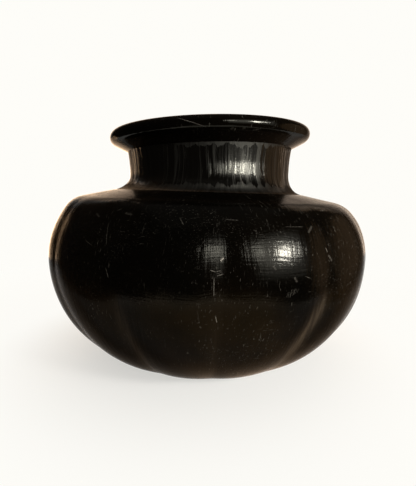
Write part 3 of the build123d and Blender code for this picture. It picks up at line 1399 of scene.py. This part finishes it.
@dataclass(frozen=True, kw_only=True)
class NeckClay(SlipClay):
    """Black slip polished in upright strokes, left dull and grey above and below them."""

    form: JarForm
    name: str = "stroked_neck_clay"
    black: Colour = (0.0014, 0.0012, 0.0010, 1.0)
    grey: Colour = (0.0065, 0.0061, 0.0053, 1.0)

    # Gloss and dust
    gloss: float = 0.09
    dull: float = 0.50
    scuff_roughness: float = 0.4
    shine: float = 0.40
    edge_shine: float = 0.0006
    dust: float = 0.14

    # Polished band above the neck's foot, with ragged ends, which is painted blacker and higher at the left
    # as shade on the side away from the window
    low_ends: Span = (0.005, 0.007)
    high_ends: Span = (0.035, 0.037)
    ends: Pattern = Pattern(170.0, 2.0, 0.6, drawn=(1.0, 0.0))
    ends_middle: float = 0.5
    ragged: float = 0.014
    shaded_sides: Span = (-0.050, -0.022)
    shaded_rise: float = 0.010

    # Upright strokes and the dull gaps between them
    wandering: Span = (30.0, 0.005)
    drawn: Span = (1.0, 0.02)
    stroke: Pattern = Pattern(460.0, 2.0, 0.6)
    gaps: Span = (0.52, 0.66)
    gap_least: float = 0.40
    missed: Pattern = Pattern(130.0, 1.0, low=0.60, high=0.64)
    missed_least: float = 0.35
    streaks: Span = (0.35, 0.60)
    grain: Pattern = Pattern(1100.0, 3.0, 0.6)
    relief: float = 0.0006
    stroke_relief: float = 0.8
    grain_relief: float = 0.2

    def material(self) -> bpy.types.Material:
        """Nodes of the finish: a polished band with ragged ends and thin dull gaps between its strokes.

        Returns:
            The material.
        """
        bench = Bench(self.name)
        where = bench.wrapped(self.form.neck_radius)
        upright = bench.stretch(bench.wander(where, *self.wandering), *self.drawn)
        stroke = bench.noise(upright, self.stroke)
        rise = bench.sums("SUBTRACT", bench.attribute("rise"), self.form.foot_height)
        swing = bench.sums("SUBTRACT", bench.noise(where, self.ends), self.ends_middle)
        swing = bench.times(swing, self.ragged)
        side = bench.add("ShaderNodeSeparateXYZ", None, Vector=where).outputs["X"]
        # Painted shade: at the left the band is all polished black, with no grey gaps, and reaches higher
        painted_shade_left = bench.spread(side, self.shaded_sides, 1.0, 0.0)
        top = bench.sums("SUBTRACT", rise, bench.times_plus(painted_shade_left, self.shaded_rise, swing))
        band = bench.times(
            bench.spread(bench.sums("ADD", rise, swing), self.low_ends),
            bench.spread(top, self.high_ends, 1.0, 0.0),
        )
        gap = bench.spread(stroke, self.gaps, 1.0, self.gap_least)
        missed = bench.shown(upright, self.missed, 1.0, self.missed_least)
        polished = bench.times(band, bench.sums("MAXIMUM", bench.times(gap, missed), painted_shade_left))
        scuff = bench.sums("MINIMUM", bench.marks(where), 1.0)
        streaked = bench.blend(bench.spread(stroke, self.streaks), self.black, self.grey)
        rough = bench.between(polished, self.dull, self.gloss)
        relief = bench.times(bench.noise(where, self.grain), self.grain_relief)
        return bench.shade(
            bench.times_plus(stroke, self.stroke_relief, relief),
            self.relief,
            Base_Color=bench.blend(scuff, bench.blend(polished, streaked, self.black), self.bare),
            Roughness=bench.times_plus(scuff, self.scuff_roughness, rough),
            Specular_IOR_Level=bench.spread(bench.facing(), self.turning, self.shine, self.edge_shine),
            Specular_Tint=self.tint,
            Sheen_Weight=self.dust,
            Sheen_Roughness=self.dust_roughness,
            Sheen_Tint=self.dust_tint,
        )


@dataclass(frozen=True, kw_only=True)
class ScrapedClay:
    """Unpolished clay, scraped around the inside or worn dull under the base."""

    name: str
    dark: Colour
    light: Colour
    roughness: Span = (0.6, 0.8)
    shine: float = 0.3
    radius: float = 0.14
    scrape: Pattern = Pattern(380.0, 4.0, 0.65, drawn=Lay.AROUND.value)
    cloud: Pattern = Pattern(40.0, 4.0, 0.6)
    light_clouds: Span = (0.15, 0.40)
    dull_scrapes: Span = (0.2, 0.8)
    relief: float = 0.0003

    def material(self) -> bpy.types.Material:
        """Nodes of the finish: scraping lines around the jar over a cloudy ground.

        Returns:
            The material.
        """
        bench = Bench(self.name)
        where = bench.wrapped(self.radius)
        scrape = bench.noise(where, self.scrape)
        share = bench.spread(bench.times(scrape, bench.noise(where, self.cloud)), self.light_clouds)
        return bench.shade(
            scrape,
            self.relief,
            Base_Color=bench.blend(share, self.dark, self.light),
            Roughness=bench.spread(scrape, self.dull_scrapes, *self.roughness),
            Specular_IOR_Level=self.shine,
        )


RIM_CLAY = BurnishedClay(
    name="burnished_rim_clay",
    lay=Lay.AROUND,
    radius=JarForm.neck_radius,
    gloss=(0.05, 0.09),
    relief=0.0002,
    hairs=0.03,
    shine=0.18,
    dust_shoulder=1.0,
)
INSIDE_CLAY = ScrapedClay(
    name="scraped_inside_clay",
    dark=(0.012, 0.010, 0.009, 1.0),
    light=(0.034, 0.030, 0.026, 1.0),
)
BASE_CLAY = ScrapedClay(
    name="worn_base_clay",
    dark=(0.030, 0.026, 0.021, 1.0),
    light=(0.110, 0.098, 0.082, 1.0),
    roughness=(0.5, 0.7),
)


@dataclass(frozen=True)
class Lamp:
    """Soft lamp aimed at the jar, with its bearing and elevation in degrees."""

    name: str
    bearing: float
    elevation: float
    distance: float
    width: float
    height: float
    radiance: float
    pane: Pane = Pane.ROUNDED
    colour: tuple[float, float, float] = (1.0, 1.0, 1.0)

    def hang(self, target: Vector) -> None:
        """Put the lamp up, with the power that gives its face this radiance.

        Args:
            target: Point that the lamp faces.
        """
        data = bpy.data.lights.new(self.name, "AREA")
        data.shape, filled = self.pane.value
        data.size, data.size_y = self.width, self.height
        data.energy = self.radiance * pi * filled * self.width * self.height
        data.color = self.colour
        lamp = put(self.name, data)
        turn, rise = radians(self.bearing), radians(self.elevation)
        aim = Vector((sin(turn) * cos(rise), -cos(turn) * cos(rise), sin(rise)))
        lamp.location = target + self.distance * aim
        lamp.rotation_euler = aim.to_track_quat("Z", "Y").to_euler()
        lamp.visible_camera = False


# Window at the right, warm light from the room, and a faint ceiling
WARM = (1.0, 0.64, 0.36)
LAMPS = (
    Lamp("window_core", 48.0, 18.0, 1.00, 0.18, 0.17, 100.0),
    Lamp("window_side", 59.0, 18.0, 1.01, 0.06, 0.17, 36.0),
    Lamp("window_inner", 50.0, 18.0, 1.02, 0.42, 0.34, 3.2),
    Lamp("window_left", 21.0, 22.0, 1.03, 0.20, 0.18, 9.0),
    Lamp("window_middle", 43.0, 19.0, 1.04, 0.80, 0.44, 1.3),
    Lamp("window_wide", 41.0, 19.0, 1.05, 1.00, 0.62, 0.9),
    Lamp("window_panes", 45.0, 17.0, 1.06, 1.00, 0.86, 0.6, Pane.SQUARED),
    Lamp("warm_room", 108.0, 2.0, 1.30, 1.50, 1.30, 0.5, Pane.ROUNDED, WARM),
    Lamp("warm_left", -152.0, -1.0, 0.60, 0.62, 0.21, 5.2, Pane.SQUARED, WARM),
    Lamp("warm_top", -160.0, 24.0, 0.62, 0.42, 0.36, 2.6, Pane.SQUARED, WARM),
    Lamp("warm_right", 155.0, 18.0, 0.60, 0.54, 0.60, 1.3, Pane.SQUARED, WARM),
    Lamp("ceiling", 0.0, 88.0, 1.60, 2.00, 2.00, 0.06, Pane.SQUARED),
)


@dataclass(frozen=True)
class Paper:
    """Pale studio paper, lit near the jar and plain white farther off.

    Attributes:
        colour: Colour of the lit paper.
        white: Colour of the plain white.
        under_share: Share of plain white under the jar.
        near_share: Share of plain white around the jar.
        under_radius: Distance from the middle of the jar's foot as far as which the paper is under it.
        near_radius: Distance at which it is around the jar.
        white_radius: Distance past which it is all white.
    """

    colour: Colour = (0.93, 0.91, 0.86, 1.0)
    white: Colour = (0.99, 0.98, 0.94, 1.0)
    under_share: float = 0.60
    near_share: float = 0.975
    under_radius: float = 0.09
    near_radius: float = 0.22
    white_radius: float = 0.50

    def material(self) -> bpy.types.Material:
        """Nodes of the paper: a dull lit face that gives way to plain white for seen and mirrored rays.

        Returns:
            The material.
        """
        bench = Bench("studio_paper")
        length = {"operation": "LENGTH"}
        away = bench.add("ShaderNodeVectorMath", length, bench.coordinates()).outputs["Value"]
        near = bench.spread(away, (self.under_radius, self.near_radius), self.under_share, self.near_share)
        far = bench.spread(away, (self.near_radius, self.white_radius), 0.0, 1.0 - self.near_share)
        light = bench.add("ShaderNodeLightPath").outputs
        seen = bench.sums("MAXIMUM", light["Is Camera Ray"], light["Is Glossy Ray"])
        seen = bench.sums("MAXIMUM", seen, light["Is Transmission Ray"])
        lit = bench.add("ShaderNodeBsdfDiffuse", None, Color=self.colour).outputs[0]
        plain = bench.add("ShaderNodeEmission", None, Color=self.white, Strength=1.0).outputs[0]
        share = bench.times(bench.sums("ADD", near, far), seen)
        mixed = bench.add("ShaderNodeMixShader", None, share, lit, plain).outputs[0]
        bench.join(mixed, bench.output.inputs["Surface"])
        return bench.material


@dataclass(frozen=True)
class Studio:
    """Pale floor and backdrop, lamps, and the camera at the photograph's viewing angle."""

    # Sheet of paper
    front: float = 0.315
    back: float = 0.80
    cove: float = 0.20
    height: float = 0.88
    front_width: float = 0.13
    fan: float = radians(29.6)
    clearance: float = 0.0002
    sheet_rows: int = 160
    sheet_columns: int = 41

    # Light and camera
    lit_height: float = 0.11
    surround: Colour = (0.031, 0.027, 0.023, 1.0)
    eye: tuple[float, float, float] = (0.0023, -0.3663, 0.1533)
    yaw: float = radians(-0.32)
    pitch: float = radians(7.96)
    roll: float = radians(0.67)
    lens: float = 27.13
    sensor: float = 36.0

    def set_up(self) -> None:
        """Lay the paper, hang the lamps and place the camera."""
        self._sweep(Paper().material())
        for lamp in LAMPS:
            lamp.hang(Vector((0.0, 0.0, self.lit_height)))
        world = bpy.data.worlds.new("room")
        world.use_nodes = True
        world.node_tree.nodes["Background"].inputs["Color"].default_value = self.surround
        bpy.context.scene.world = world
        self._camera()
        bpy.context.scene.view_settings.view_transform = "Standard"

    def _sweep(self, paper: bpy.types.Material) -> None:
        """Make the stage's one sheet of paper, which fans out with depth.

        Its line is a level floor, a quarter circle and an upright back.

        Args:
            paper: Material of the sheet.
        """
        flat, quarter = self.front + self.back - self.cove, self.cove * pi / 2.0
        length = np.linspace(0.0, flat + quarter + self.height - self.cove, self.sheet_rows)[:, None]
        turn = np.clip((length - flat) / self.cove, 0.0, pi / 2.0)
        depth = np.minimum(length, flat) + self.cove * np.sin(turn)
        rise = self.cove * (1.0 - np.cos(turn)) + np.maximum(length - flat - quarter, 0.0) - self.clearance
        half_width = self.front_width + depth * tan(self.fan)
        across = half_width * np.linspace(-1.0, 1.0, self.sheet_columns)[None, :]
        points = np.stack(np.broadcast_arrays(across, depth - self.front, rise), axis=-1)
        faces = quads(np.arange(across.size).reshape(across.shape))
        mesh = bpy.data.meshes.new("paper_sweep")
        mesh.from_pydata(points.reshape(-1, 3).tolist(), [], faces.tolist())
        mesh.polygons.foreach_set("use_smooth", np.ones(len(faces), dtype=bool))
        mesh.materials.append(paper)
        sheet = put("paper_sweep", mesh)

    def _camera(self) -> None:
        """Place the camera by its eye, yaw, pitch and roll."""
        ahead = Vector((sin(self.yaw) * cos(self.pitch), cos(self.yaw) * cos(self.pitch), -sin(self.pitch)))
        level = Vector((cos(self.yaw), -sin(self.yaw), 0.0))
        above = level.cross(ahead)
        right = cos(self.roll) * level + sin(self.roll) * above
        upward = cos(self.roll) * above - sin(self.roll) * level
        turn = Matrix((right, upward, -ahead)).transposed().to_4x4()
        data = bpy.data.cameras.new("viewer")
        data.lens, data.sensor_width = self.lens, self.sensor
        camera = put("viewer", data)
        camera.matrix_world = Matrix.Translation(self.eye) @ turn
        bpy.context.scene.camera = camera


def main() -> None:
    """Build the jar and its studio."""
    logging.basicConfig(level=logging.INFO)
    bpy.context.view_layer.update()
    form = JarForm()
    wear = Wear(form, SEEN_MARKS)
    burnished = BurnishedClay().material()
    rolled = RIM_CLAY.material()
    stroked = NeckClay(form=form).material()
    scraped = INSIDE_CLAY.material()
    worn = BASE_CLAY.material()
    outsides = {"rim_coil": rolled, "neck_coil_1": stroked, "neck_coil_2": stroked}
    for piece in CoilPot(form).pieces():
        made = piece.build([outsides.get(piece.node, burnished), scraped, worn], wear)
        log.info("%s stands for %s: %d faces", made.name, piece.node, len(made.data.polygons))
    Studio().set_up()


if __name__ == "__main__":
    main()
